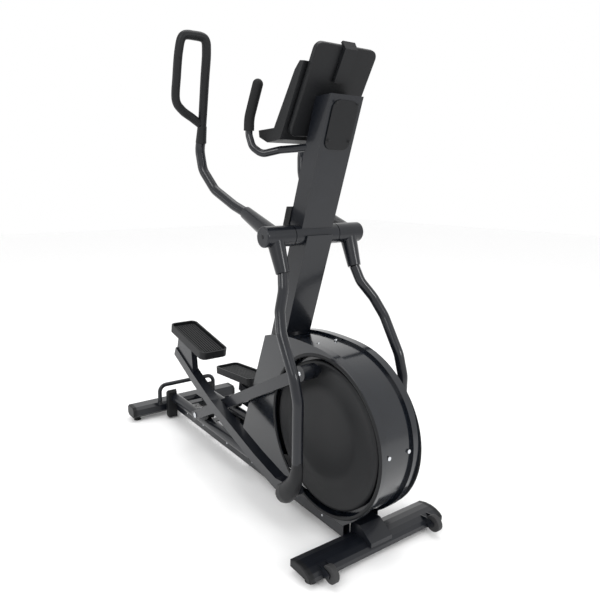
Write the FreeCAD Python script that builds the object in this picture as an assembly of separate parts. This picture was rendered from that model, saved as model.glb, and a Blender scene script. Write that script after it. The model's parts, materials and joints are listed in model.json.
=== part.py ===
"""Front-drive elliptical trainer, one STEP file per sub-part, in millimetres.

Design frame: +X forward (towards the drive housing), +Y to the user's left, +Z up, floor at
z = 0. save() moves everything by ORIGIN_SHIFT_X, so the origin is the middle of the footprint.
Every side part is drawn once for the right side (-Y); the left one is its mirror image,
placed where the linkage solved below puts it.
"""
import FreeCAD
import Part
import math
import os

os.makedirs("parts", exist_ok=True)
V = FreeCAD.Vector

# Fits
RUN_GAP = 0.05          # radial clearance of a shaft that turns in a bore
ROLL_GAP = 0.4          # daylight between a roller and its rail
FACE_GAP = 3.0          # between parts that pass each other side by side

# Overall
ORIGIN_SHIFT_X = 32.24
REAR_X = -869.0
STABILISER_HALF = 300.0
CAP_LENGTH = 20.0
TUBE_R = 19.0
TUBE_WALL = 2.5
BOX_WALL = 3.0

# Base
BEAM_Y = (55.0, 85.0)
BEAM_Z = (41.0, 91.0)
REAR_TUBE = (90.0, 60.0, 22.0)          # length in X, height, underside
FRONT_TUBE_X = (636.0, 743.0)
RAIL_R = 25.0
RAIL_Y = 95.0
RAIL_X = (-735.0, 60.0)
RAIL_Z = 115.0
FOOT_R = 20.0
WHEEL_R = 30.0
WHEEL_WIDTH = 22.0
WHEEL_POS = (762.0, 248.0, 46.5)
WHEEL_AXLE_R = 5.0

# Crank and drive
CRANK = (511.5, 381.8)
CRANK_THROW = 240.0
CRANK_ANGLE = 98.0
AXLE_R = 12.5
PIN_R = 16.0
DISC_R = 272.0
DISC_Y = (74.0, 79.0)
ARM_Y = (66.0, 74.0)
PIN_END_Y = 100.0
PULLEY_R = 130.0
PULLEY_Y = (32.0, 46.0)
FLYWHEEL = (664.0, 400.0)
FLYWHEEL_R = 115.0
FLYWHEEL_Y = (-44.0, -12.0)
DRIVEN_R = 18.0
FLY_AXLE_R = 8.0
BELT = 4.0
BELT_GAP = 0.5

# Links and rollers
LINK_LENGTH = 938.0
LINK_Y = (129.0, 166.0)
LINK_HEIGHT = 45.0
BOSS_R = 28.0
ROLLER_WAIST_R = 28.0
ROLLER_FLANGE_R = 34.0
ROLLER_HALF = 18.0
ROLLER_PIN_R = 8.0
PEDAL_PIVOT_ON_LINK = 314.0

# Swing arms and pedals
PIVOT = (328.0, 1088.0)
PIVOT_AXLE_R = 15.0
HUB_R = 38.0
CONE_R = (33.0, 25.0)   # swing hub's cast arms, at the hub and at the tube
CAST_WALL = 6.0
PLATE = 6.0
SLEEVE_HALF = 100.0
HUB_END_Y = 225.0
BOOT_PIVOT = (490.0, 190.0)
BOOT_Y = (219.0, 272.0)
BOOT_PIN_R = 10.0
EYE_R = 26.0
ARM_BOX_Y = (172.0, 215.0)
ARM_BOX_HEIGHT = 44.0
PEDAL_SIZE = (345.0, 138.0, 35.0)
PEDAL_CENTRE = (-348.0, 143.0, 531.0)   # middle of the underside
PEDAL_TOE_DOWN = 11.5
PEDAL_RIM = 8.0
PEDAL_POCKET = 13.0
RIB_COUNT = 9

# Mast, bars and console
MAST_SLOPE = 0.3187
MAST_FOOT_X = 10.3
MAST_DEPTH = 95.0
MAST_HALF = 60.0
UPPER_HALF = 72.0
UPPER_DEPTH = 80.0
UPPER_TOP_Z = 1560.0
BAR_R = 13.5
CONSOLE_BACK_HALF = 131.0
CONSOLE_FRONT_HALF = 147.0

# Drive housing
SHROUD_Y = (62.0, 92.0)
SHROUD_WALL = 4.0
SHROUD_HOLE_R = 286.0
BAND_INSET = 10.0
SHROUD_CURVE = [
    (150, 672), (225, 692), (300, 702), (441, 704), (570, 688), (680, 634), (752, 560),
    (790, 480), (803, 410), (793, 310), (742, 195), (664, 112),
]
SHROUD_BASE = [(640, 91), (60, 91), (-45, 150)]


def box(x0, x1, y0, y1, z0, z1):
    """Axis-aligned block between two corners."""
    return Part.makeBox(x1 - x0, y1 - y0, z1 - z0, V(x0, y0, z0))


def cyl_y(radius, y0, y1, centre):
    """Cylinder along Y about centre = (x, z)."""
    return Part.makeCylinder(radius, y1 - y0, V(centre[0], y0, centre[1]), V(0, 1, 0))


def prism(points, y0, y1):
    """Flat outline (x, z) drawn out along Y."""
    loop = [V(x, y0, z) for x, z in points]
    return Part.Face(Part.makePolygon(loop + loop[:1])).extrude(V(0, y1 - y0, 0))


def pipe(points, radius, bend=60.0):
    """Round bar along a path whose corners are bent to an arc."""
    path = [V(*p) for p in points]
    edges = []
    start = path[0]
    for before, corner, after in zip(path, path[1:], path[2:]):
        back = before - corner
        ahead = after - corner
        reach = min(back.Length, ahead.Length) * 0.45
        back.normalize()
        ahead.normalize()
        half = back.getAngle(ahead) / 2
        if half > math.radians(89.5):
            continue
        setback = min(bend / math.tan(half), reach)
        bisector = (back + ahead).normalize()
        to_arc = setback / math.cos(half) - setback * math.tan(half)
        first = corner + back * setback
        last = corner + ahead * setback
        edges.append(Part.makeLine(start, first))
        edges.append(Part.Arc(first, corner + bisector * to_arc, last).toShape())
        start = last
    edges.append(Part.makeLine(start, path[-1]))
    ring = Part.Wire(Part.makeCircle(radius, path[0], path[1] - path[0]))
    return Part.Wire(edges).makePipeShell([ring], True, False)


def tube(points, radius, wall=TUBE_WALL, bend=60.0):
    """Hollow round tube along a bent path."""
    return pipe(points, radius, bend).cut(pipe(points, radius - wall, bend))


def ribbon(points, width):
    """Outline of constant width along a path in the XZ plane."""
    count = len(points)
    left, right = [], []
    for i, (x, z) in enumerate(points):
        x0, z0 = points[max(i - 1, 0)]
        x1, z1 = points[min(i + 1, count - 1)]
        length = math.hypot(x1 - x0, z1 - z0)
        nx, nz = -(z1 - z0) / length, (x1 - x0) / length
        left.append((x + nx * width / 2, z + nz * width / 2))
        right.append((x - nx * width / 2, z - nz * width / 2))
    return left + right[::-1]


def inset(points, distance):
    """Closed outline moved inwards, corner by corner."""
    moved = []
    for i, (x, z) in enumerate(points):
        x0, z0 = points[i - 1]
        x1, z1 = points[(i + 1) % len(points)]
        ax, az = x - x0, z - z0
        bx, bz = x1 - x, z1 - z
        a, b = math.hypot(ax, az), math.hypot(bx, bz)
        nx, nz = az / a + bz / b, -ax / a - bx / b
        n = math.hypot(nx, nz)
        cosine = max(n / 2, 0.4)
        moved.append((x + nx / n * distance / cosine, z + nz / n * distance / cosine))
    return moved


def shroud_solid(distance, y0, y1):
    """Housing outline, moved inwards by distance and drawn out along Y."""
    points = inset(SHROUD_CURVE + SHROUD_BASE, distance)
    curve = Part.BSplineCurve()
    curve.interpolate([V(x, y0, z) for x, z in points[:len(SHROUD_CURVE)]])
    straight = [V(x, y0, z) for x, z in points[len(SHROUD_CURVE) - 1:] + points[:1]]
    edges = [curve.toShape()]
    for a, b in zip(straight, straight[1:]):
        edges.append(Part.makeLine(a, b))
    return Part.Face(Part.Wire(edges)).extrude(V(0, y1 - y0, 0))


def mirror(shape):
    """The same part for the other side of the machine."""
    return shape.mirror(V(0, 0, 0), V(0, 1, 0))


def both(shape):
    """A right-hand solid and its mirror image as one piece of geometry."""
    return Part.makeCompound([shape, mirror(shape)])


def save(name, shape):
    """Write one node in the shared frame."""
    out = shape.copy()
    out.translate(V(ORIGIN_SHIFT_X, 0, 0))
    out.exportStep(f"parts/{name}.step")


def meet(centre_a, radius_a, centre_b, radius_b):
    """Lower crossing point of two circles in the XZ plane."""
    dx, dz = centre_b[0] - centre_a[0], centre_b[1] - centre_a[1]
    gap = math.hypot(dx, dz)
    along = (radius_a ** 2 - radius_b ** 2 + gap ** 2) / (2 * gap)
    across = math.sqrt(radius_a ** 2 - along ** 2)
    x, z = centre_a[0] + along * dx / gap, centre_a[1] + along * dz / gap
    pair = [(x + s * across * dz / gap, z - s * across * dx / gap) for s in (1, -1)]
    return max(pair, key=lambda p: p[0])


def bearing(a, b):
    """Direction from a to b in degrees, from +X towards +Z."""
    return math.degrees(math.atan2(b[1] - a[1], b[0] - a[0]))


def linkage(crank_angle):
    """Crank pin, roller axis, pedal pivot and link pitch at one crank angle."""
    turn = math.radians(crank_angle)
    pin = (CRANK[0] + CRANK_THROW * math.cos(turn), CRANK[1] + CRANK_THROW * math.sin(turn))
    drop = pin[1] - ROLLER_Z
    roller = (pin[0] - math.sqrt(LINK_LENGTH ** 2 - drop ** 2), ROLLER_Z)
    pitch = math.radians(bearing(roller, pin))
    knee = (roller[0] + PEDAL_PIVOT_ON_LINK * math.cos(pitch),
            roller[1] + PEDAL_PIVOT_ON_LINK * math.sin(pitch))
    return pin, roller, knee, math.degrees(pitch)


ROLLER_Z = RAIL_Z + RAIL_R + ROLL_GAP + ROLLER_WAIST_R
PIN_R_SIDE, ROLLER_R_SIDE, KNEE_R, PITCH_R = linkage(CRANK_ANGLE)
PIN_L_SIDE, ROLLER_L_SIDE, KNEE_L, PITCH_L = linkage(CRANK_ANGLE + 180)
SWING_R = math.dist(PIVOT, BOOT_PIVOT)
PEDAL_ARM = math.dist(KNEE_R, BOOT_PIVOT)
BOOT_PIVOT_L = meet(PIVOT, SWING_R, KNEE_L, PEDAL_ARM)
SWING_TURN_L = bearing(PIVOT, BOOT_PIVOT_L) - bearing(PIVOT, BOOT_PIVOT)
PEDAL_TURN_L = bearing(KNEE_L, BOOT_PIVOT_L) - bearing(KNEE_R, BOOT_PIVOT)


def to_left(shape, pivot, turn, new_pivot):
    """Mirror a right-hand part and set it at the left side's place in the linkage."""
    moved = shape.copy()
    moved.rotate(V(pivot[0], 0, pivot[1]), V(0, -1, 0), turn)
    moved.translate(V(new_pivot[0] - pivot[0], 0, new_pivot[1] - pivot[1]))
    return mirror(moved)


def save_pair(name, shape, pivot, turn, new_pivot):
    """Save right_NAME and left_NAME."""
    save("right_" + name, shape)
    save("left_" + name, to_left(shape, pivot, turn, new_pivot))


# Stabilisers, feet and transport wheels
rear_x1 = REAR_X + REAR_TUBE[0]
rear_z0, rear_z1 = REAR_TUBE[2], REAR_TUBE[2] + REAR_TUBE[1]
rear_outline = [
    (REAR_X + 14, rear_z0), (rear_x1 - 14, rear_z0), (rear_x1, rear_z0 + 14),
    (rear_x1, rear_z1 - 14), (rear_x1 - 14, rear_z1), (REAR_X + 14, rear_z1),
    (REAR_X, rear_z1 - 14), (REAR_X, rear_z0 + 14),
]
front_outline = [
    (636, 24), (743, 24), (743, 40), (732, 49), (712, 57), (690, 60), (664, 58), (636, 50),
]
end_y = STABILISER_HALF + CAP_LENGTH
wheel_x, wheel_y, wheel_z = WHEEL_POS
wheel_in = wheel_y - WHEEL_WIDTH / 2
wheel_out = wheel_y + WHEEL_WIDTH / 2
notch = box(wheel_x - WHEEL_R - 4, wheel_x, -wheel_out - 2, -wheel_in + 2, 0, wheel_z + WHEEL_R)
for name, outline in (("rear_stabiliser", rear_outline), ("front_stabiliser", front_outline)):
    solid = prism(outline, -STABILISER_HALF, STABILISER_HALF)
    hollow = prism(inset(outline[::-1], BOX_WALL), -STABILISER_HALF, STABILISER_HALF)
    save(name, solid.cut(hollow).cut(notch).cut(mirror(notch)))
caps = [prism(o, -end_y, -STABILISER_HALF) for o in (rear_outline, front_outline)]
caps = [cap.makeFillet(5, [e for e in cap.Edges if abs(e.CenterOfMass.y + end_y) < 0.01])
        for cap in caps]
save("stabiliser_caps", Part.makeCompound(caps + [mirror(cap) for cap in caps]))
feet = []
for x, y, under in ((703, 284, 24), (-821, 284, rear_z0)):
    pad = Part.makeCone(FOOT_R, FOOT_R - 4, 10, V(x, -y, 0))
    feet.append(pad.fuse(Part.makeCylinder(6, under - 10, V(x, -y, 10))))
save("levelling_feet", Part.makeCompound(feet + [mirror(foot) for foot in feet]))

wheel = cyl_y(WHEEL_R, -wheel_out, -wheel_in, (wheel_x, wheel_z))
wheel = wheel.makeFillet(3, [e for e in wheel.Edges if e.Curve.TypeId == "Part::GeomCircle"])
wheel = wheel.cut(cyl_y(WHEEL_AXLE_R + RUN_GAP, -wheel_out, -wheel_in, (wheel_x, wheel_z)))
save_pair("transport_wheel", wheel, (0, 0), 0, (0, 0))
fork = cyl_y(WHEEL_AXLE_R, -wheel_out - 5, -wheel_in + 5, (wheel_x, wheel_z))
for y in (-wheel_out - 6, -wheel_in + 2):
    cheek = prism([(700, 56), (743, 40), (743, 26), (770, 38), (772, 54), (756, 60), (735, 62)],
                  y, y + 4)
    fork = fork.fuse(cheek)
fork = fork.cut(prism(front_outline, -end_y, end_y))
save("wheel_forks", both(fork))

# Base frame and rails
base = []
for sign in (1, -1):
    y0, y1 = sorted((sign * BEAM_Y[0], sign * BEAM_Y[1]))
    beam = box(rear_x1, FRONT_TUBE_X[0], y0, y1, *BEAM_Z)
    bore = box(rear_x1, FRONT_TUBE_X[0], y0 + BOX_WALL, y1 - BOX_WALL,
               BEAM_Z[0] + BOX_WALL, BEAM_Z[1] - BOX_WALL)
    base.append(beam.cut(bore))
    for x in (-640, -330, -20):
        y0, y1 = sorted((sign * (BEAM_Y[0] + 13), sign * (RAIL_Y + 15)))
        base.append(box(x - 20, x + 20, y0, y1, BEAM_Z[1], BEAM_Z[1] + 9))
for x0, x1 in ((-60, 90), (466, 557), (568, 632), (-700, -660), (-420, -380)):
    base.append(box(x0, x1, -BEAM_Y[0], BEAM_Y[0], BEAM_Z[1] - PLATE, BEAM_Z[1]))
base_frame = base[0].multiFuse(base[1:])
rail = Part.makeCylinder(RAIL_R, RAIL_X[1] - RAIL_X[0], V(RAIL_X[0], -RAIL_Y, RAIL_Z), V(1, 0, 0))
base_frame = base_frame.cut(rail).cut(mirror(rail))
rail_bore = Part.makeCylinder(RAIL_R - TUBE_WALL, RAIL_X[1] - RAIL_X[0],
                              V(RAIL_X[0], -RAIL_Y, RAIL_Z), V(1, 0, 0))
save_pair("rail", rail.cut(rail_bore), (0, 0), 0, (0, 0))
cover = prism([(-752, 22), (-740, 10), (-722, 10), (-722, 150), (-732, 165), (-752, 150)],
              -140, -88)
cover = cover.makeFillet(4, [e for e in cover.Edges if abs(e.CenterOfMass.y + 140) < 0.01])
save("rail_end_covers", both(cover.cut(rail)))
handle = pipe([(-773, -167, 100), (-773, -167, 185), (-773, 167, 185), (-773, 167, 100)], 11, 45)
handle_ends = [
    pipe([(-773, s * 167, 100), (-785, s * 167, 76)], 11) for s in (1, -1)
]
handle = handle.multiFuse(handle_ends)
handle = handle.cut(prism(rear_outline, -STABILISER_HALF, STABILISER_HALF))
save("lifting_handle", handle)
bracket = prism([(560, 91), (560, 100), (682, 100), (740, 62), (740, 46), (636, 46), (636, 91)],
                -50, 50)
bracket = bracket.cut(prism(front_outline, -60, 60))
save("base_frame", base_frame.fuse(bracket))

# Mast, pivot axle and covers
sleeve = cyl_y(HUB_R, -SLEEVE_HALF, SLEEVE_HALF, PIVOT)
sleeve_bore = cyl_y(HUB_R - CAST_WALL, -SLEEVE_HALF + 24, SLEEVE_HALF - 24, PIVOT)
pivot_axle = cyl_y(PIVOT_AXLE_R, -HUB_END_Y + 10, HUB_END_Y - 10, PIVOT)


def mast_x(z):
    """Middle of the mast at one height."""
    return MAST_FOOT_X + MAST_SLOPE * (z - BEAM_Z[1])


def mast_block(z0, z1, back, front, half):
    """Piece of the leaning mast between two heights."""
    low, high = mast_x(z0), mast_x(z1)
    return prism([(low - back, z0), (low + front, z0), (high + front, z1), (high - back, z1)],
                 -half, half)


lower = mast_block(BEAM_Z[1], PIVOT[1], MAST_DEPTH / 2, MAST_DEPTH / 2, MAST_HALF)
lower_bore = mast_block(BEAM_Z[1], PIVOT[1], MAST_DEPTH / 2 - BOX_WALL, MAST_DEPTH / 2 - BOX_WALL,
                        MAST_HALF - BOX_WALL)
lower_shell = lower.cut(lower_bore).cut(sleeve).fuse(sleeve.cut(sleeve_bore))
save("lower_mast", lower_shell.cut(pivot_axle))
upper = mast_block(PIVOT[1], UPPER_TOP_Z, UPPER_DEPTH - 20, 20, UPPER_HALF)
upper_bore = mast_block(PIVOT[1], UPPER_TOP_Z, UPPER_DEPTH - 20 - BOX_WALL, 20 - BOX_WALL,
                        UPPER_HALF - BOX_WALL)
save("pivot_axle", pivot_axle)
front_cover = mast_block(1385, 1545, -20, 24, MAST_HALF - 4)
save("mast_front_cover", front_cover)
rear_cover = mast_block(1042, 1190, UPPER_DEPTH + 14, -(UPPER_DEPTH - 20), 76)
rear_cover = rear_cover.cut(sleeve).cut(lower)
save("mast_rear_cover", rear_cover)

# Fixed handlebar
bar_path = [
    (400, -30, 1398), (383, -55, 1397), (269, -110, 1392), (222, -156, 1378),
    (196, -181, 1404), (178, -184, 1447), (180, -184, 1500),
]
bar = pipe(bar_path, BAR_R, 40)
grip_path = [(178, -184, 1462), (180, -184, 1505), (230, -180, 1615)]
bar_grip = pipe(grip_path, TUBE_R, 120).fuse(Part.makeSphere(TUBE_R, V(*grip_path[-1])))
bars = bar.cut(bar_grip)
bars = bars.fuse(mirror(bars))
upper_shell = upper.cut(upper_bore).cut(sleeve).cut(bars)
save("fixed_handlebar", bars)
save("handlebar_grips", both(bar_grip.cut(bars)))

# Console
back_points = [(501, 1708), (413, 1545), (352, 1432), (331, 1443), (392, 1556), (480, 1719)]
front_points = [
    (448, 1660), (427, 1664), (400, 1640), (283, 1465), (186, 1464), (190, 1440), (242, 1418),
    (320, 1424), (331, 1443),
]
console_back = prism(back_points, -CONSOLE_BACK_HALF, CONSOLE_BACK_HALF)
console_front = prism(front_points, -CONSOLE_FRONT_HALF, CONSOLE_FRONT_HALF)
console_front = console_front.cut(console_back).cut(bars)
console_front = console_front.cut(mast_block(1380, UPPER_TOP_Z, UPPER_DEPTH - 20, 24, UPPER_HALF))
save("console_back", console_back.cut(bars))
save("console_front", console_front.cut(both(bar_grip)))
save("upper_mast", upper_shell.cut(console_back).cut(rear_cover))


def on_console(start, end, half, proud):
    """Thin plate on the console's user face, between two distances from its top edge."""
    top, low = V(400, 0, 1640), V(283, 0, 1465)
    run = (low - top).normalize()
    out = V(run.z, 0, -run.x)
    corners = [top + run * start, top + run * end, top + run * end + out * proud,
               top + run * start + out * proud]
    return prism([(c.x, c.z) for c in corners], -half, half)


save("console_screen", on_console(14, 122, 100, 3))
keys = [on_console(140, 158, 16, 4) for _ in range(5)]
for i, key in enumerate(keys):
    key.translate(V(0, (i - 2) * 44, 0))
save("console_keys", Part.makeCompound(keys))
clip_plate = prism([(498, 1702), (488, 1721), (496, 1725), (512, 1698), (459, 1600), (451, 1604)],
                   -27, 27)
save("tablet_clip", clip_plate.cut(console_back))

# Drive housing
ring_plate = cyl_y(SHROUD_HOLE_R + 8, SHROUD_Y[0], SHROUD_Y[0] + 3, CRANK)
ring_plate = ring_plate.cut(cyl_y(210, SHROUD_Y[0], SHROUD_Y[0] + 3, CRANK))
skin = shroud_solid(0, *SHROUD_Y)
skin = skin.cut(shroud_solid(SHROUD_WALL, SHROUD_Y[0], SHROUD_Y[1] - SHROUD_WALL))
skin = skin.cut(cyl_y(SHROUD_HOLE_R, SHROUD_Y[1] - SHROUD_WALL, SHROUD_Y[1], CRANK))
flange = shroud_solid(0.5, SHROUD_Y[0], SHROUD_Y[0] + 3)
flange = flange.cut(shroud_solid(BAND_INSET + SHROUD_WALL, SHROUD_Y[0], SHROUD_Y[0] + 3))
shroud = skin.multiFuse([flange, ring_plate.common(shroud_solid(1, *SHROUD_Y))])
shroud = shroud.cut(mirror(rail))
save("left_shroud", shroud)
save("right_shroud", mirror(shroud))
band = shroud_solid(BAND_INSET, -SHROUD_Y[0], SHROUD_Y[0])
band = band.cut(shroud_solid(BAND_INSET + SHROUD_WALL, -SHROUD_Y[0], SHROUD_Y[0]))
band = band.common(prism([(262, 800), (262, 600), (600, 330), (600, 108), (950, 108), (950, 800)],
                         -SHROUD_Y[0], SHROUD_Y[0]))
screws = []
for x, z, y in ((426, 694.5, 43), (793, 402, 46)):
    direction = V(x - CRANK[0], 0, z - CRANK[1]).normalize()
    for sign in (1, -1):
        start = V(x, sign * y, z) - direction * 8
        screws.append(Part.makeCylinder(4, 14, start, direction))
        screws.append(Part.makeCylinder(7, 4, start + direction * 10, direction))
screw_set = screws[0].multiFuse(screws[1:])
save("housing_screws", screw_set.cut(band))
save("front_band", band)

# Crank, belt and flywheel
post = box(CRANK[0] - 30, CRANK[0] + 30, -28, 28, BEAM_Z[1], CRANK[1])
post = post.cut(box(CRANK[0] - 24, CRANK[0] + 24, -22, 22, BEAM_Z[1], CRANK[1] - 40))
post = post.fuse(cyl_y(34, -28, 28, CRANK))
post = post.cut(cyl_y(AXLE_R + RUN_GAP, -28, 28, CRANK))
crank_axle = cyl_y(AXLE_R, -ARM_Y[1], ARM_Y[1], CRANK)
save("crank_axle", crank_axle)
pulley = cyl_y(PULLEY_R, *PULLEY_Y, CRANK)
for i in range(6):
    spoke = math.radians(60 * i)
    place = (CRANK[0] + 80 * math.cos(spoke), CRANK[1] + 80 * math.sin(spoke))
    pulley = pulley.cut(cyl_y(28, *PULLEY_Y, place))
save("pulley", pulley.cut(crank_axle))
for side, sign, pin in (("left", 1, PIN_L_SIDE), ("right", -1, PIN_R_SIDE)):
    arm = prism(ribbon([CRANK, pin], 44), *ARM_Y)
    arm = arm.fuse(cyl_y(32, *ARM_Y, CRANK)).fuse(cyl_y(24, *ARM_Y, pin))
    stub = cyl_y(PIN_R, ARM_Y[1], PIN_END_Y, pin)
    disc = cyl_y(DISC_R, *DISC_Y, CRANK).cut(stub)
    disc = disc.fuse(cyl_y(150, DISC_Y[1], DISC_Y[1] + 3, CRANK).cut(stub))
    arm = arm.fuse(stub)
    if sign < 0:
        arm, disc = mirror(arm), mirror(disc)
    save(side + "_crank_arm", arm.cut(crank_axle))
    save(side + "_crank_disc", disc)

flywheel = cyl_y(FLYWHEEL_R, *FLYWHEEL_Y, FLYWHEEL)
flywheel = flywheel.cut(cyl_y(80, FLYWHEEL_Y[0], FLYWHEEL_Y[0] + 9, FLYWHEEL))
flywheel = flywheel.cut(cyl_y(80, FLYWHEEL_Y[1] - 9, FLYWHEEL_Y[1], FLYWHEEL))
flywheel = flywheel.fuse(cyl_y(16, -48, PULLEY_Y[0], FLYWHEEL))
flywheel = flywheel.fuse(cyl_y(DRIVEN_R, *PULLEY_Y, FLYWHEEL))
save("flywheel", flywheel.cut(cyl_y(FLY_AXLE_R + RUN_GAP, -60, 60, FLYWHEEL)))
fly_axle = cyl_y(FLY_AXLE_R, -56, 56, FLYWHEEL)
cheek = prism([(575, 91), (630, 91), (700, 390), (694, 430), (650, 430), (640, 390)], 50, 56)
save("drive_mounts", post.multiFuse([cheek, mirror(cheek), fly_axle]))
sector = prism([FLYWHEEL, (FLYWHEEL[0] + 90, FLYWHEEL[1] + 200),
                (FLYWHEEL[0] - 60, FLYWHEEL[1] + 200)], -44, -12)
magnet = cyl_y(FLYWHEEL_R + 14, -44, -12, FLYWHEEL)
magnet = magnet.cut(cyl_y(FLYWHEEL_R + 3, -44, -12, FLYWHEEL)).common(sector)
hanger = box(FLYWHEEL[0] - 8, FLYWHEEL[0] + 8, -50, -46, FLYWHEEL[1] + 19, FLYWHEEL[1] + 129)
foot = box(FLYWHEEL[0] - 8, FLYWHEEL[0] + 8, -46, -44, FLYWHEEL[1] + 119, FLYWHEEL[1] + 128)
save("magnet_brake", magnet.fuse(hanger).fuse(foot))


def belt_loop(grow):
    """Outline round both pulleys at one distance from their faces."""
    big, small = PULLEY_R + grow, DRIVEN_R + grow
    dx, dz = FLYWHEEL[0] - CRANK[0], FLYWHEEL[1] - CRANK[1]
    lean = math.acos((big - small) / math.hypot(dx, dz))
    aim = math.atan2(dz, dx)
    corners = []
    for centre, radius, side in ((CRANK, big, 1), (FLYWHEEL, small, 1), (FLYWHEEL, small, -1),
                                 (CRANK, big, -1)):
        turn = aim + side * lean
        corners.append((centre[0] + radius * math.cos(turn), centre[1] + radius * math.sin(turn)))
    loop = prism(corners, PULLEY_Y[0] + 1, PULLEY_Y[1] - 1)
    for centre, radius in ((CRANK, big), (FLYWHEEL, small)):
        loop = loop.fuse(cyl_y(radius, PULLEY_Y[0] + 1, PULLEY_Y[1] - 1, centre))
    return loop


save("belt", belt_loop(BELT_GAP + BELT).cut(belt_loop(BELT_GAP)))

# Links and rollers, drawn at the right side's rest pose
link_in, link_out = -LINK_Y[1], -LINK_Y[0]
aim = math.radians(PITCH_R)


def along_link(distance):
    """Point on the right link's centreline."""
    return (ROLLER_R_SIDE[0] + distance * math.cos(aim),
            ROLLER_R_SIDE[1] + distance * math.sin(aim))


link_path = [along_link(-34), along_link(LINK_LENGTH)]
boss = cyl_y(BOSS_R, -LINK_Y[1] - 2, -PIN_END_Y - FACE_GAP, PIN_R_SIDE)
boss = boss.cut(cyl_y(BOSS_R - 1.5, -116, -113, PIN_R_SIDE).cut(
    cyl_y(BOSS_R - 4, -116, -113, PIN_R_SIDE)))
for y in (-116, -124):
    groove = cyl_y(BOSS_R, y - 3, y, PIN_R_SIDE).cut(cyl_y(BOSS_R - 2.5, y - 3, y, PIN_R_SIDE))
    boss = boss.cut(groove)
link = prism(ribbon(link_path, LINK_HEIGHT), link_in, link_out)
link_bore = prism(ribbon([along_link(-30), along_link(LINK_LENGTH - 20)],
                         LINK_HEIGHT - 2 * BOX_WALL), link_in + BOX_WALL, link_out - BOX_WALL)
roller_pin = cyl_y(ROLLER_PIN_R, link_in - 1, -RAIL_Y + ROLLER_HALF + 7, ROLLER_R_SIDE)
spacer = cyl_y(15, link_out + 1, -RAIL_Y - ROLLER_HALF - 1, ROLLER_R_SIDE)
washer = cyl_y(13, -RAIL_Y + ROLLER_HALF + 2, -RAIL_Y + ROLLER_HALF + 7, ROLLER_R_SIDE)
knee_stub = cyl_y(14, link_in - 5, link_in, KNEE_R)
axle_head = cyl_y(13, link_in - 4, link_in - 1, ROLLER_R_SIDE)
bush = cyl_y(15, link_in, link_out, ROLLER_R_SIDE)
link_bush = bush.cut(cyl_y(ROLLER_PIN_R + RUN_GAP, link_in, link_out, ROLLER_R_SIDE))
link = link.cut(link_bore).cut(boss)
link = link.cut(bush).multiFuse([knee_stub, link_bush])
save_pair("roller_axle", roller_pin.multiFuse([spacer, washer, axle_head]), ROLLER_R_SIDE, 0,
          ROLLER_L_SIDE)
save_pair("link", link, ROLLER_R_SIDE, PITCH_L - PITCH_R, ROLLER_L_SIDE)
save_pair("link_boss", boss, ROLLER_R_SIDE, PITCH_L - PITCH_R, ROLLER_L_SIDE)
roller = cyl_y(ROLLER_FLANGE_R, -RAIL_Y - ROLLER_HALF, -RAIL_Y + ROLLER_HALF, ROLLER_R_SIDE)
groove = Part.makeTorus(ROLLER_WAIST_R + RAIL_R + ROLL_GAP, RAIL_R + ROLL_GAP,
                        V(ROLLER_R_SIDE[0], -RAIL_Y, ROLLER_R_SIDE[1]), V(0, 1, 0))
roller = roller.cut(groove)
roller = roller.cut(cyl_y(ROLLER_PIN_R + RUN_GAP, -RAIL_Y - ROLLER_HALF,
                          -RAIL_Y + ROLLER_HALF, ROLLER_R_SIDE))
save_pair("roller", roller, ROLLER_R_SIDE, 0, ROLLER_L_SIDE)

# Pedal arms and pedals
arm_in, arm_out = -ARM_BOX_Y[1], -ARM_BOX_Y[0]
arm_path = [(-452, 475), (-270, 390), (-100, 319), (0, 288), (250, 213), (400, 178), BOOT_PIVOT]
arm = prism(ribbon(arm_path, ARM_BOX_HEIGHT), arm_in, arm_out)
arm_bore = prism(ribbon(arm_path[:-1], ARM_BOX_HEIGHT - 2 * BOX_WALL), arm_in + BOX_WALL,
                 arm_out - BOX_WALL)
arm = arm.cut(arm_bore)
arm = arm.fuse(cyl_y(EYE_R, arm_in, arm_out, BOOT_PIVOT))
arm = arm.cut(cyl_y(BOOT_PIN_R + RUN_GAP, arm_in, arm_out, BOOT_PIVOT))
stand = prism([(-440, 492), (-420, 560), (-290, 530), (-275, 415)], -208, -180)
length, width, height = PEDAL_SIZE
px, py, pz = PEDAL_CENTRE
pedal = box(px - length / 2, px + length / 2, -py - width / 2, -py + width / 2, pz, pz + height)
uprights = [e for e in pedal.Edges if abs(e.Vertexes[0].Z - e.Vertexes[-1].Z) > 1]
pedal = pedal.makeFillet(28, uprights)
floor_z = pz + height - PEDAL_POCKET
pocket = box(px - length / 2 + PEDAL_RIM, px + length / 2 - PEDAL_RIM,
             -py - width / 2 + PEDAL_RIM, -py + width / 2 - PEDAL_RIM, floor_z, pz + height)
uprights = [e for e in pocket.Edges if abs(e.Vertexes[0].Z - e.Vertexes[-1].Z) > 1]
pedal = pedal.cut(pocket.makeFillet(20, uprights))
pitch_y = (width - 4 * PEDAL_RIM) / RIB_COUNT
ribs = []
for i in range(RIB_COUNT):
    y = -py + (i - (RIB_COUNT - 1) / 2) * pitch_y
    ribs.append(box(px - length / 2 + 24, px + length / 2 - 24, y - 3.5, y + 3.5, floor_z - 1,
                    floor_z + 5))
pedal = pedal.multiFuse(ribs)
pedal.rotate(V(px, 0, pz), V(0, -1, 0), -PEDAL_TOE_DOWN)
arm = arm.fuse(stand.cut(prism(ribbon(arm_path, ARM_BOX_HEIGHT), arm_in, arm_out)))
save_pair("pedal_arm", arm.cut(pedal), BOOT_PIVOT, PEDAL_TURN_L, BOOT_PIVOT_L)
save_pair("pedal", pedal, BOOT_PIVOT, PEDAL_TURN_L, BOOT_PIVOT_L)

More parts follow.
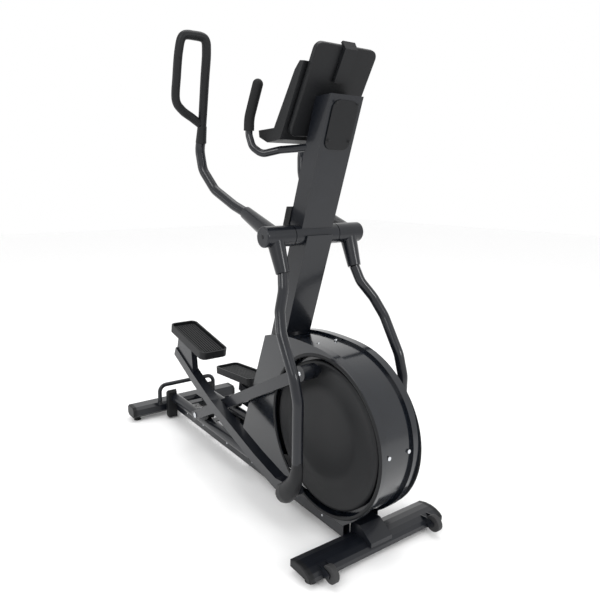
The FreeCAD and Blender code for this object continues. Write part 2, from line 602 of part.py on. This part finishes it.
# Swing arms, drawn at the right side's rest pose
hub = cyl_y(HUB_R, -HUB_END_Y, -SLEEVE_HALF - FACE_GAP, PIVOT)
hub = hub.makeFillet(6, [e for e in hub.Edges if abs(e.CenterOfMass.y + HUB_END_Y) < 0.01])
hub = hub.cut(cyl_y(PIVOT_AXLE_R + RUN_GAP, -HUB_END_Y + 8, -SLEEVE_HALF, PIVOT))
arm_y = -172.0
hub_arms = [
    ((322, arm_y, 1090), (141, arm_y - 2, 1164)),
    ((330, arm_y, 1083), (376, arm_y + 2, 962)),
]


def cast_arm(start, end):
    """Hollow tapered arm of the hub, closed where the tube is welded on."""
    run = V(*end) - V(*start)
    outer = Part.makeCone(*CONE_R, run.Length, V(*start), run)
    bore = Part.makeCone(CONE_R[0] - CAST_WALL, CONE_R[1] - CAST_WALL, run.Length - 2 * CAST_WALL,
                         V(*start), run)
    return outer.cut(bore).cut(cyl_y(HUB_R - CAST_WALL, -HUB_END_Y, 0, PIVOT))


hub_arms = [cast_arm(*ends) for ends in hub_arms]
hub = hub.multiFuse(hub_arms)
lower_path = [
    (376, -170, 962), (398, -183, 905), (432, -222, 842), (472, -243, 773), (550, -247, 640),
    (575, -247, 560), (575, -247, 345),
]
upper_path = [
    (141, -174, 1164), (86, -193, 1190), (-8, -225, 1249), (-63, -248, 1327), (-74, -255, 1404),
    (-50, -258, 1459),
]
lower_arm = tube(lower_path, TUBE_R, bend=90)
upper_arm = tube(upper_path, TUBE_R, bend=70)
grip_bow = [
    (-50, -258, 1459), (24, -266, 1797), (18, -374, 1797), (-31, -375, 1574), (-46, -262, 1500),
]
grip = pipe(grip_bow[:-1], 16, 34)
grip = grip.fuse(pipe(grip_bow[-2:], 16)).fuse(Part.makeSphere(16, V(*grip_bow[-2])))
grip = grip.fuse(pipe([(-56, -257, 1440), (-50, -258, 1459), (-44, -259, 1490)], 22, 30))
boot_low = BOOT_PIVOT
boot = cyl_y(40, -BOOT_Y[1], -BOOT_Y[0], boot_low)
boot = boot.fuse(prism([(556, 350), (594, 350), (592, 290), (560, 225), (522, 166), (455, 172),
                        (462, 226), (512, 262), (545, 300)], -BOOT_Y[1], -BOOT_Y[0]))
boot = boot.cut(pipe(lower_path, TUBE_R, bend=90))
boot_pin = cyl_y(BOOT_PIN_R, -BOOT_Y[0] - 1, -ARM_BOX_Y[0] + 2, BOOT_PIVOT)
boot = boot.fuse(boot_pin)
swing = (PIVOT, SWING_TURN_L, PIVOT)
save_pair("swing_hub", hub, *swing)
save_pair("upper_arm", upper_arm.cut(hub).cut(grip), *swing)
save_pair("lower_arm", lower_arm.cut(hub), *swing)
save_pair("grip", grip, *swing)
save_pair("boot", boot, *swing)
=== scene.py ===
"""Looks of a front-drive elliptical trainer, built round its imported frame.

Lengths are metres in the frame's own axes unless a name or comment says mm: +X towards the
drive housing, +Y to the user's left, +Z up. Paired pieces are drawn for the right side and
mirrored to the left.
"""
import json
import math

import bmesh
import bpy
from mathutils import Matrix, Vector


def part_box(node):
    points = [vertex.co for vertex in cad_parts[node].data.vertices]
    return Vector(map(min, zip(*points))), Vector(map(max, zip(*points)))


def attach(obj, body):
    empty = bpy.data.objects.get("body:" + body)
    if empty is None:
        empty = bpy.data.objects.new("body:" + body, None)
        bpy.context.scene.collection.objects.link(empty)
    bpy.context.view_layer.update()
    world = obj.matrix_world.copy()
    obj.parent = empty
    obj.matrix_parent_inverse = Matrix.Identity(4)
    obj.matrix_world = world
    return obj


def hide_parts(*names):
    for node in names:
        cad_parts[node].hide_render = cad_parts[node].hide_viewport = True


bl_info = {
    "name": "Elliptical trainer",
    "version": (1, 0, 0),
    "blender": (4, 5, 0),
    "location": "3D View > Sidebar > Trainer",
    "description": "Covers, grips, fasteners and finishes of an elliptical trainer",
    "category": "Object",
}

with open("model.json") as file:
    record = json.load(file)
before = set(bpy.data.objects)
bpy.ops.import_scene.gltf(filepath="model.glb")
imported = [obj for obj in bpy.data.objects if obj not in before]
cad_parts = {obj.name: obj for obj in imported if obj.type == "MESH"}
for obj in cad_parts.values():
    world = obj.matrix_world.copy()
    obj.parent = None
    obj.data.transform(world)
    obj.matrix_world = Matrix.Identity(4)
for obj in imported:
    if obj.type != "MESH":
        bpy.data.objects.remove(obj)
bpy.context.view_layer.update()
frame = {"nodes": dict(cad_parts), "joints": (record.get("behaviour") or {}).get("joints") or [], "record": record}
joints = {joint["name"]: joint for joint in frame["joints"]}
MM = 0.001
PIVOT = Vector(joints["right_swing_turn"]["pos_m"])
CRANK = Vector(joints["crank_turn"]["pos_m"])
DRAWN_PIVOT_X = 328                 # the swing pivot in the maker's own drawing, mm
SHIFT = PIVOT.x / MM - DRAWN_PIVOT_X
SIDES = (("right", 1), ("left", -1))
ACROSS = Vector((0, 1, 0))
SIDE_LEAN = math.radians(0.2616)    # the left arm stands this much further round at rest
MAST_RAKE = 0.3187                  # forward run of the mast per unit of height
GRIP_FRONT = Vector((0.97, 0, -0.23))
WELD = 0.00001                      # points nearer than this are one point
RING_SIDES = 20
DISC_SIDES = 144
# Softboxes aimed at the machine: name, place, size in metres, power in watts
SOFTBOXES = (
    ("key_softbox", (2.2, -3.2, 3.4), 1.8, 60),
    ("side_softbox", (-1.6, -3.6, 1.8), 1.2, 14),
    ("front_strip", (3.8, 0.8, 2.2), 0.8, 28),
    ("top_softbox", (0, 0.4, 4.4), 2.4, 50),
)
LIT_POINT = Vector((0, 0, 0.8))
CAMERA_PLACE = (1.9374 + SHIFT * MM, -1.3033, 1.2631)
CAMERA_AIM = Vector((-0.8204, 0.5386, -0.1921))
CAMERA_LENS = 33.13
CAMERA_SHIFT = (0.0714, -0.0092)
FLOOR_REACH = 14


# Helpers for meshes

def centre_y(point):
    """A point of the frame, dropped onto the machine's middle plane."""
    return Vector((point.x, 0, point.z))


def drawn(spots):
    """Places in the frame of points given in the maker's drawing, in mm."""
    return [Vector((x + SHIFT, y, z)) * MM for x, y, z in spots]


def side_matrix(sign, swings=False):
    """Identity for the right side; for the left, the mirror image at the arm's own angle."""
    if sign > 0:
        return Matrix.Identity(4)
    mirror = Matrix.Scale(-1, 4, ACROSS)
    if not swings:
        return mirror
    middle = centre_y(PIVOT)
    turn = Matrix.Rotation(SIDE_LEAN, 4, Vector((0, -1, 0)))
    return mirror @ Matrix.Translation(middle) @ turn @ Matrix.Translation(-middle)


def piece(name, bm, material, matrix=None, smooth=True):
    """Turn a bmesh into an object with one material, faces pointing outwards."""
    if matrix is not None:
        bm.transform(matrix)
    bmesh.ops.remove_doubles(bm, verts=bm.verts, dist=WELD)
    bmesh.ops.recalc_face_normals(bm, faces=bm.faces)
    mesh = bpy.data.meshes.new(name)
    bm.to_mesh(mesh)
    bm.free()
    for polygon in mesh.polygons:
        polygon.use_smooth = smooth
    mesh.materials.append(material)
    obj = bpy.data.objects.new(name, mesh)
    bpy.context.scene.collection.objects.link(obj)
    return obj


def bevel(obj, width, segments=3):
    """Round a piece's sharp edges."""
    modifier = obj.modifiers.new("Rounded edges", "BEVEL")
    modifier.width = width
    modifier.segments = segments
    modifier.limit_method = "ANGLE"
    modifier.angle_limit = math.radians(35)
    modifier.harden_normals = True


def smooth_path(points, steps):
    """Catmull-Rom curve through the points."""
    last = len(points) - 1
    path = []
    for i in range(last):
        p0, p1 = points[max(i - 1, 0)], points[i]
        p2, p3 = points[i + 1], points[min(i + 2, last)]
        for k in range(steps):
            t = k / steps
            path.append(0.5 * ((2 * p1) + (p2 - p0) * t
                               + (2 * p0 - 5 * p1 + 4 * p2 - p3) * t ** 2
                               + (3 * p1 - p0 - 3 * p2 + p3) * t ** 3))
    path.append(points[-1].copy())
    return path


def sweep(path, radius, across, flat=1.0):
    """Tube along a path; radius(t) gives its size and flat squeezes it along across."""
    bm = bmesh.new()
    last = len(path) - 1
    rings = []
    for i, point in enumerate(path):
        run = (path[min(i + 1, last)] - path[max(i - 1, 0)]).normalized()
        side = (across - run * across.dot(run)).normalized()
        up = run.cross(side)
        size = radius(i / last)
        ring = []
        for k in range(RING_SIDES):
            turn = math.tau * k / RING_SIDES
            offset = side * math.cos(turn) * flat + up * math.sin(turn)
            ring.append(bm.verts.new(point + offset * size))
        rings.append(ring)
    for a, b in zip(rings, rings[1:]):
        for k in range(RING_SIDES):
            j = (k + 1) % RING_SIDES
            bm.faces.new((a[k], a[j], b[j], b[k]))
    bm.faces.new(rings[0][::-1])
    bm.faces.new(rings[-1])
    return bm


def lathe(profile, centre, segments=DISC_SIDES):
    """Solid turned about the Y axis through centre; profile is (radius, y) from axis to axis."""
    bm = bmesh.new()
    rings = []
    for radius, y in profile:
        if radius < WELD:
            rings.append([bm.verts.new((centre.x, y, centre.z))])
            continue
        ring = []
        for k in range(segments):
            turn = math.tau * k / segments
            ring.append(bm.verts.new((centre.x + radius * math.cos(turn), y,
                                      centre.z + radius * math.sin(turn))))
        rings.append(ring)
    for a, b in zip(rings, rings[1:]):
        for k in range(segments):
            j = (k + 1) % segments
            if len(a) == 1:
                bm.faces.new((a[0], b[k], b[j]))
            elif len(b) == 1:
                bm.faces.new((a[k], b[0], a[j]))
            else:
                bm.faces.new((a[k], b[k], b[j], a[j]))
    return bm


def rounded_slab(origin, right, up, width, height, radius, thick):
    """Plate with rounded corners on a plane: origin is its middle, thick its depth."""
    corner_steps = 8
    bm = bmesh.new()
    out = right.cross(up)
    corners = []
    for sx, sy, start in ((1, 1, 0), (-1, 1, 90), (-1, -1, 180), (1, -1, 270)):
        for k in range(corner_steps + 1):
            turn = math.radians(start + 90 * k / corner_steps)
            x = sx * (width / 2 - radius) + radius * math.cos(turn)
            y = sy * (height / 2 - radius) + radius * math.sin(turn)
            corners.append(origin + right * x + up * y)
    face = bm.faces.new([bm.verts.new(c) for c in corners])
    grown = bmesh.ops.extrude_face_region(bm, geom=[face])
    raised = [v for v in grown["geom"] if isinstance(v, bmesh.types.BMVert)]
    bmesh.ops.translate(bm, verts=raised, vec=out * thick)
    return bm


# Helpers for materials

def linear(code):
    """sRGB hex to linear RGBA."""
    values = [int(code[i:i + 2], 16) / 255 for i in (1, 3, 5)]
    return [v / 12.92 if v <= 0.04045 else ((v + 0.055) / 1.055) ** 2.4 for v in values] + [1.0]


def add_node(tree, kind, settings=None, inputs=None):
    """Add one node; inputs that are sockets are linked, others are set."""
    node = tree.nodes.new(kind)
    for name, value in (settings or {}).items():
        setattr(node, name, value)
    for name, value in (inputs or {}).items():
        if isinstance(value, bpy.types.NodeSocket):
            tree.links.new(value, node.inputs[name])
        else:
            node.inputs[name].default_value = value
    return node


def finish_material(name, dark, light, rough, metallic=0.0, grain_mm=2.0, relief_mm=0.05,
                    cloud_mm=90.0, coat=0.0):
    """Surface with a fine grain, a slow change of tone and a little change of gloss."""
    material = bpy.data.materials.new(name)
    material.use_nodes = True
    tree = material.node_tree
    shader = tree.nodes["Principled BSDF"]
    place = add_node(tree, "ShaderNodeTexCoord").outputs["Object"]
    cloud = add_node(tree, "ShaderNodeTexNoise", None,
                     {"Vector": place, "Scale": 1 / (cloud_mm * MM), "Detail": 4.0})
    grain = add_node(tree, "ShaderNodeTexNoise", None,
                     {"Vector": place, "Scale": 1 / (grain_mm * MM), "Detail": 3.0})
    # A colour mix has its two colours at inputs 6 and 7, and its result at output 2
    tone = add_node(tree, "ShaderNodeMix", {"data_type": "RGBA"},
                    {"Factor": cloud.outputs["Fac"], 6: linear(dark), 7: linear(light)})
    gloss = add_node(tree, "ShaderNodeMapRange", None,
                     {"Value": cloud.outputs["Fac"], "To Min": rough - 0.05,
                      "To Max": rough + 0.07})
    bump = add_node(tree, "ShaderNodeBump", None,
                    {"Height": grain.outputs["Fac"], "Strength": 0.35,
                     "Distance": relief_mm * MM})
    tree.links.new(tone.outputs[2], shader.inputs["Base Color"])
    tree.links.new(gloss.outputs["Result"], shader.inputs["Roughness"])
    tree.links.new(bump.outputs["Normal"], shader.inputs["Normal"])
    shader.inputs["Metallic"].default_value = metallic
    shader.inputs["Specular IOR Level"].default_value = 0.5 if metallic else 0.24
    shader.inputs["Coat Weight"].default_value = coat
    shader.inputs["Coat Roughness"].default_value = 0.12
    return material


# Powder coat: baked paint with a faint orange peel, so highlights run long and soft-edged
POWDER_COAT = finish_material("satin_black_powder_coat", "#0d0f14", "#14171d", 0.3,
                              grain_mm=3.0, relief_mm=0.06, coat=0.35)
# Spark-textured ABS: a matte moulding that spreads light into a broad grey sheen
TEXTURED_ABS = finish_material("spark_textured_abs", "#0f1012", "#17181a", 0.46,
                               grain_mm=2.2, relief_mm=0.12)
# Polished ABS: gloss tool finish with a clear reflection of the room
POLISHED_ABS = finish_material("polished_black_abs", "#090c12", "#11161d", 0.18,
                               grain_mm=8.0, relief_mm=0.02, coat=0.6)
# Thermoplastic rubber: dull and slightly dusty
GRIP_RUBBER = finish_material("moulded_grip_rubber", "#0e0f10", "#151617", 0.62,
                              grain_mm=1.8, relief_mm=0.15)
WHEEL_TPE = finish_material("grey_wheel_rubber", "#2b2b2c", "#3a3a3b", 0.6,
                            grain_mm=2.0, relief_mm=0.1)
NYLON = finish_material("moulded_black_nylon", "#121315", "#1a1b1d", 0.45, grain_mm=2.5)
ZINC = finish_material("bright_zinc_plate", "#b9bcc0", "#d4d6d9", 0.24, metallic=1.0,
                       grain_mm=1.5, relief_mm=0.03)
CAST_IRON = finish_material("painted_cast_iron", "#2a2b2d", "#3a3b3e", 0.55, metallic=0.4,
                            grain_mm=2.4, relief_mm=0.25)
SCREEN = finish_material("tinted_screen_acrylic", "#070a0e", "#0c1118", 0.1,
                         grain_mm=20.0, relief_mm=0.005, coat=0.8)
STUDIO_FLOOR = finish_material("pale_studio_paper", "#fafafa", "#fefefe", 0.8,
                               grain_mm=6.0, relief_mm=0.02)
SLOT_FINISH = {
    "satin_black_steel": POWDER_COAT, "matte_shell": TEXTURED_ABS, "gloss_shell": POLISHED_ABS,
    "grip_rubber": GRIP_RUBBER, "wheel_rubber": WHEEL_TPE, "roller_plastic": NYLON,
    "zinc_steel": ZINC, "cast_iron": CAST_IRON, "screen": SCREEN,
}
RUBBER_NODES = ("belt", "levelling_feet")


class TrainerSizes(bpy.types.PropertyGroup):
    """Sizes a user may change."""

    screw_radius: bpy.props.FloatProperty(
        name="Screw head", description="Radius of the small screw heads", default=4.2 * MM,
        unit="LENGTH")
    grip_radius: bpy.props.FloatProperty(
        name="Grip", description="Half the thickness of the moving grips", default=16 * MM,
        unit="LENGTH")


class TRAINER_OT_frame_finishes(bpy.types.Operator):
    """Give every part of the frame its real finish"""

    bl_idname = "trainer.frame_finishes"
    bl_label = "Frame finishes"

    def execute(self, context):
        slots = {s["node"]: s["material_slot"] for s in frame["record"]["subparts"]}
        for name, obj in frame["nodes"].items():
            finish = SLOT_FINISH[slots[name]]
            if name in RUBBER_NODES:
                finish = GRIP_RUBBER
            if name.endswith("_shroud"):
                finish = POLISHED_ABS
            for slot in obj.material_slots:
                slot.material = finish
        return {"FINISHED"}


class TRAINER_OT_grips(bpy.types.Operator):
    """Looped moving grips, moulded in two shells"""

    bl_idname = "trainer.grips"
    bl_label = "Moving grips"

    def execute(self, context):
        bow = [(-51, -258, 1452), (-32, -260, 1540), (-6, -263, 1660), (14, -265, 1750),
               (22, -276, 1792), (22, -320, 1799), (18, -362, 1792), (7, -374, 1745),
               (-12, -376, 1660), (-29, -374, 1580), (-38, -345, 1545), (-43, -300, 1520),
               (-44, -268, 1500)]
        collar = [(-60, -256, 1432), (-51, -258, 1458), (-42, -259, 1492)]
        path = smooth_path(drawn(bow), 10)
        collar_path = smooth_path(drawn(collar), 8)
        base = context.scene.trainer_sizes.grip_radius

        def palm_swell(t):
            """The run under the palm is 8 % thicker."""
            return base * (1 + 0.08 * math.sin(math.pi * min(t * 2.2, 1)))

        for side, sign in SIDES:
            matrix = side_matrix(sign, True)
            bm = sweep(path, palm_swell, GRIP_FRONT)
            grip = piece(side + "_grip_loop", bm, TEXTURED_ABS, matrix)
            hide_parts(side + "_grip")
            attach(grip, side + "_swing")
            bm = sweep(collar_path, lambda t: (21.5 - 3.5 * t) * MM, GRIP_FRONT)
            cuff = piece(side + "_grip_cuff", bm, TEXTURED_ABS, matrix)
            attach(cuff, side + "_swing")
            bm = sweep(path[4:-6], lambda t: base * 1.015, GRIP_FRONT, flat=0.06)
            seam = piece(side + "_grip_seam", bm, GRIP_RUBBER, matrix)
            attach(seam, side + "_swing")
        return {"FINISHED"}


class TRAINER_OT_boots(bpy.types.Operator):
    """Pear-shaped boots over the lower joints"""

    bl_idname = "trainer.boots"
    bl_label = "Lower joint boots"

    def execute(self, context):
        line = [(575, -246, 352), (573, -246, 320), (562, -246, 275), (540, -246, 238),
                (512, -246, 208), (486, -246, 192), (466, -246, 186)]
        sizes = [21, 25, 29, 34, 37, 33, 18]
        path = smooth_path(drawn(line), 8)
        pin = Vector(joints["right_pedal_pivot"]["pos_m"])
        pin_profile = [(0, -0.222), (0.0098, -0.222), (0.0098, -0.171), (0, -0.171)]

        def girth(t):
            """Radius between the sizes given for the points of the line."""
            at = min(t * (len(sizes) - 1), len(sizes) - 1.001)
            low = int(at)
            return (sizes[low] + (sizes[low + 1] - sizes[low]) * (at - low)) * MM

        for side, sign in SIDES:
            matrix = side_matrix(sign, True)
            bm = sweep(path, girth, ACROSS, flat=0.74)
            boot = piece(side + "_joint_boot", bm, TEXTURED_ABS, matrix)
            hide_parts(side + "_boot")
            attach(boot, side + "_swing")
            shaft = piece(side + "_boot_pin", lathe(pin_profile, pin, 40), ZINC, matrix)
            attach(shaft, side + "_swing")
        return {"FINISHED"}


class TRAINER_OT_crank_covers(bpy.types.Operator):
    """Turning side discs with a dished cover and a moulded sweep"""

    bl_idname = "trainer.crank_covers"
    bl_label = "Crank covers"

    def execute(self, context):
        rim = [(0.2718, -0.0793), (0.2712, -0.0815), (0.262, -0.0835), (0.248, -0.0828),
               (0.240, -0.0812), (0.190, -0.0822), (0.186, -0.0842), (0.150, -0.0856),
               (0.06, -0.086), (0, -0.086)]
        back = [(0, -0.0796), (0.2, -0.0796)]
        lip_profile = [(0.286, -0.0925), (0.289, -0.0945), (0.2965, -0.0945), (0.300, -0.0921),
                       (0.300, -0.0915), (0.286, -0.0915), (0.286, -0.0925)]
        face_y = -0.0805            # the moulded sweep is pressed into what stands outside this
        sweep_reach = 0.235
        sweep_depth = 0.0022
        sweep_twist = 14            # radians per metre of radius
        for side, sign in SIDES:
            bm = lathe(back + rim, CRANK)
            turn = math.radians(0 if sign > 0 else 180)
            for vertex in bm.verts:
                local = vertex.co - centre_y(CRANK)
                angle = math.atan2(local.z, local.x) + turn
                reach = math.hypot(local.x, local.z)
                wave = math.cos(angle * 2 - reach * sweep_twist)
                if vertex.co.y < face_y and reach < sweep_reach:
                    vertex.co.y -= sweep_depth * max(wave, 0) ** 2 * (reach / sweep_reach)
            cover = piece(side + "_disc_cover", bm, TEXTURED_ABS, side_matrix(sign))
            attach(cover, "crank")
            bm = lathe(lip_profile, CRANK)
            lip = piece(side + "_housing_lip", bm, TEXTURED_ABS, side_matrix(sign))
            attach(lip, "frame")
        return {"FINISHED"}


class TRAINER_OT_mast_cover(bpy.types.Operator):
    """Front plate of the mast, round at the top"""

    bl_idname = "trainer.mast_cover"
    bl_label = "Mast front cover"

    def execute(self, context):
        low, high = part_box("mast_front_cover")
        lean = Vector((MAST_RAKE, 0, 1)).normalized()
        middle = (low + high) / 2 - Vector((0.0012, 0, 0))
        bm = rounded_slab(middle, ACROSS, lean, width=high.y - low.y, height=0.164,
                          radius=0.03, thick=0.0045)
        cover = piece("mast_cover_plate", bm, TEXTURED_ABS, smooth=False)
        bevel(cover, 0.0012)
        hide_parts("mast_front_cover")
        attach(cover, "frame")
        return {"FINISHED"}


class TRAINER_OT_console_back(bpy.types.Operator):
    """Back cover of the console, one thick slab with rounded corners"""

    bl_idname = "trainer.console_back_cover"
    bl_label = "Console back"

    def execute(self, context):
        low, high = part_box("console_back")
        up = Vector((88, 0, 163)).normalized()
        out = ACROSS.cross(up)
        foot = drawn([(352, 0, 1432)])[0]
        length = 0.3135
        depth = 0.0215
        middle = foot + up * (length / 2) - out * depth
        bm = rounded_slab(middle, ACROSS, up, width=high.y - low.y, height=length,
                          radius=0.026, thick=depth)
        shell = piece("console_back_shell", bm, TEXTURED_ABS, smooth=False)
        bevel(shell, 0.005, 4)
        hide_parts("console_back")
        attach(shell, "frame")
        return {"FINISHED"}


def screw_tree():
    """Geometry nodes: a domed head on every point, turned to face along its aim."""
    tree = bpy.data.node_groups.new("Screw heads", "GeometryNodeTree")
    face = tree.interface
    face.new_socket("Geometry", in_out="INPUT", socket_type="NodeSocketGeometry")
    face.new_socket("Head radius", in_out="INPUT", socket_type="NodeSocketFloat")
    face.new_socket("Head height", in_out="INPUT", socket_type="NodeSocketFloat")
    face.new_socket("Finish", in_out="INPUT", socket_type="NodeSocketMaterial")
    face.new_socket("Geometry", in_out="OUTPUT", socket_type="NodeSocketGeometry")
    start = add_node(tree, "NodeGroupInput")
    aim = add_node(tree, "GeometryNodeInputNamedAttribute", {"data_type": "FLOAT_VECTOR"},
                   {"Name": "aim"})
    turn = add_node(tree, "FunctionNodeAlignRotationToVector", {"axis": "Z"},
                    {"Vector": aim.outputs["Attribute"]})
    head = add_node(tree, "GeometryNodeMeshUVSphere", None,
                    {"Segments": 16, "Rings": 10, "Radius": start.outputs["Head radius"]})
    ratio = add_node(tree, "ShaderNodeMath", {"operation": "DIVIDE"},
                     {0: start.outputs["Head height"], 1: start.outputs["Head radius"]})
    size = add_node(tree, "ShaderNodeCombineXYZ", None,
                    {"X": 1.0, "Y": 1.0, "Z": ratio.outputs[0]})
    heads = add_node(tree, "GeometryNodeInstanceOnPoints", None,
                     {"Points": start.outputs["Geometry"], "Instance": head.outputs["Mesh"],
                      "Rotation": turn.outputs["Rotation"], "Scale": size.outputs["Vector"]})
    solid = add_node(tree, "GeometryNodeRealizeInstances", None,
                     {"Geometry": heads.outputs["Instances"]})
    painted = add_node(tree, "GeometryNodeSetMaterial", None,
                       {"Geometry": solid.outputs["Geometry"],
                        "Material": start.outputs["Finish"]})
    end = add_node(tree, "NodeGroupOutput")
    tree.links.new(painted.outputs["Geometry"], end.inputs["Geometry"])
    return tree


def screw_set(name, places, radius, height, finish, body, tree):
    """Screws at (point, aim) places, made by the node tree and kept as one plain mesh."""
    mesh = bpy.data.meshes.new(name + "_points")
    mesh.from_pydata([tuple(point) for point, _ in places], [], [])
    aims = mesh.attributes.new("aim", "FLOAT_VECTOR", "POINT")
    for item, (_, aim) in zip(aims.data, places):
        item.vector = aim
    source = bpy.data.objects.new(name + "_points", mesh)
    bpy.context.scene.collection.objects.link(source)
    modifier = source.modifiers.new("Screw heads", "NODES")
    modifier.node_group = tree
    values = {"Head radius": radius, "Head height": height, "Finish": finish}
    for item in tree.interface.items_tree:
        if item.in_out == "INPUT" and item.name in values:
            modifier[item.identifier] = values[item.name]
    graph = bpy.context.evaluated_depsgraph_get()
    solid = bpy.data.meshes.new_from_object(source.evaluated_get(graph))
    bpy.data.objects.remove(source)
    for polygon in solid.polygons:
        polygon.use_smooth = True
    screws = bpy.data.objects.new(name, solid)
    bpy.context.scene.collection.objects.link(screws)
    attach(screws, body)


class TRAINER_OT_screws(bpy.types.Operator):
    """Screws of the covers, grips, links and base"""

    bl_idname = "trainer.screws"
    bl_label = "Screws"

    def execute(self, context):
        sizes = context.scene.trainer_sizes
        radius = sizes.screw_radius
        tree = screw_tree()
        fore = Vector((1, 0, -MAST_RAKE)).normalized()
        plate = []
        for y, z in ((46, 1414), (47, 1533)):
            face_x = 369.5 + MAST_RAKE * (z - 1121)
            for spot in drawn([(face_x, y, z), (face_x, -y, z)]):
                plate.append((spot, fore))
        screw_set("mast_cover_screws", plate, radius, radius * 0.5, NYLON, "frame", tree)
        beam = []
        for x in (-600, -420, -180, 40, 300, 520):
            for sign in (1, -1):
                beam.append((drawn([(x, 85 * sign, 66)])[0], ACROSS * sign))
        screw_set("beam_screws", beam, radius, radius * 0.45, ZINC, "frame", tree)
        grip_spots = [(-22, -262, 1600), (8, -264, 1722), (22, -320, 1799), (3, -375, 1722),
                      (-20, -376, 1620)]
        for side, sign in SIDES:
            matrix = side_matrix(sign, True)
            front = matrix.to_3x3() @ GRIP_FRONT
            grip = [(matrix @ (spot + GRIP_FRONT * sizes.grip_radius), front)
                    for spot in drawn(grip_spots)]
            screw_set(side + "_grip_screws", grip, radius * 0.8, radius * 0.3, GRIP_RUBBER,
                      side + "_swing", tree)
            low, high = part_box(side + "_link_boss")
            outer = high.y if sign < 0 else low.y
            spot = Vector(((low.x + high.x) / 2, outer, (low.z + high.z) / 2))
            aim = Vector((0, -sign, 0))
            screw_set(side + "_link_bolt", [(spot, aim)], radius * 2, radius * 0.9, ZINC,
                      side + "_link", tree)
            low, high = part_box(side + "_swing_hub")
            outer = high.y if sign < 0 else low.y
            spot = Vector((PIVOT.x, outer, PIVOT.z))
            screw_set(side + "_hub_bolt", [(spot, aim)], radius * 1.8, radius * 0.7, NYLON,
                      side + "_swing", tree)
        return {"FINISHED"}


class TRAINER_OT_stage(bpy.types.Operator):
    """Pale floor, soft lights and the camera"""

    bl_idname = "trainer.stage"
    bl_label = "Stage"

    def execute(self, context):
        scene = context.scene
        world = bpy.data.worlds.new("studio")
        world.use_nodes = True
        sky = world.node_tree.nodes["Background"]
        sky.inputs["Color"].default_value = (1, 1, 1, 1)
        sky.inputs["Strength"].default_value = 1.0
        scene.world = world
        scene.view_settings.view_transform = "Standard"
        bm = bmesh.new()
        bmesh.ops.create_grid(bm, x_segments=1, y_segments=1, size=FLOOR_REACH)
        floor = piece("studio_floor", bm, STUDIO_FLOOR, smooth=False)
        for name, spot, size, power in SOFTBOXES:
            lamp = bpy.data.lights.new(name, "AREA")
            lamp.size = size
            lamp.energy = power
            light = bpy.data.objects.new(name, lamp)
            light.location = spot
            light.rotation_euler = (LIT_POINT - Vector(spot)).to_track_quat("-Z", "Y").to_euler()
            scene.collection.objects.link(light)
        lens = bpy.data.cameras.new("studio_camera")
        lens.lens = CAMERA_LENS
        lens.shift_x, lens.shift_y = CAMERA_SHIFT
        camera = bpy.data.objects.new("studio_camera", lens)
        camera.location = CAMERA_PLACE
        camera.rotation_euler = CAMERA_AIM.to_track_quat("-Z", "Y").to_euler()
        scene.collection.objects.link(camera)
        scene.camera = camera
        return {"FINISHED"}


OPERATORS = (
    TRAINER_OT_stage, TRAINER_OT_frame_finishes, TRAINER_OT_grips, TRAINER_OT_boots,
    TRAINER_OT_crank_covers, TRAINER_OT_mast_cover, TRAINER_OT_console_back, TRAINER_OT_screws,
)


class TRAINER_PT_panel(bpy.types.Panel):
    """Buttons for each group of pieces"""

    bl_idname = "TRAINER_PT_panel"
    bl_label = "Elliptical trainer"
    bl_space_type = "VIEW_3D"
    bl_region_type = "UI"
    bl_category = "Trainer"

    def draw(self, context):
        sizes = context.scene.trainer_sizes
        for name in ("screw_radius", "grip_radius"):
            self.layout.prop(sizes, name)
        for operator in OPERATORS:
            self.layout.operator(operator.bl_idname)


def register():
    """Add the sizes, the operators and the panel."""
    bpy.utils.register_class(TrainerSizes)
    bpy.types.Scene.trainer_sizes = bpy.props.PointerProperty(type=TrainerSizes)
    for operator in OPERATORS:
        bpy.utils.register_class(operator)
    bpy.utils.register_class(TRAINER_PT_panel)


def unregister():
    """Take away what register added."""
    bpy.utils.unregister_class(TRAINER_PT_panel)
    for operator in reversed(OPERATORS):
        bpy.utils.unregister_class(operator)
    del bpy.types.Scene.trainer_sizes
    bpy.utils.unregister_class(TrainerSizes)


def main():
    """Build the whole scene."""
    register()
    bpy.ops.trainer.stage()
    bpy.ops.trainer.frame_finishes()
    bpy.ops.trainer.grips()
    bpy.ops.trainer.boots()
    bpy.ops.trainer.crank_covers()
    bpy.ops.trainer.mast_cover()
    bpy.ops.trainer.console_back_cover()
    bpy.ops.trainer.screws()


if __name__ == "__main__":
    main()
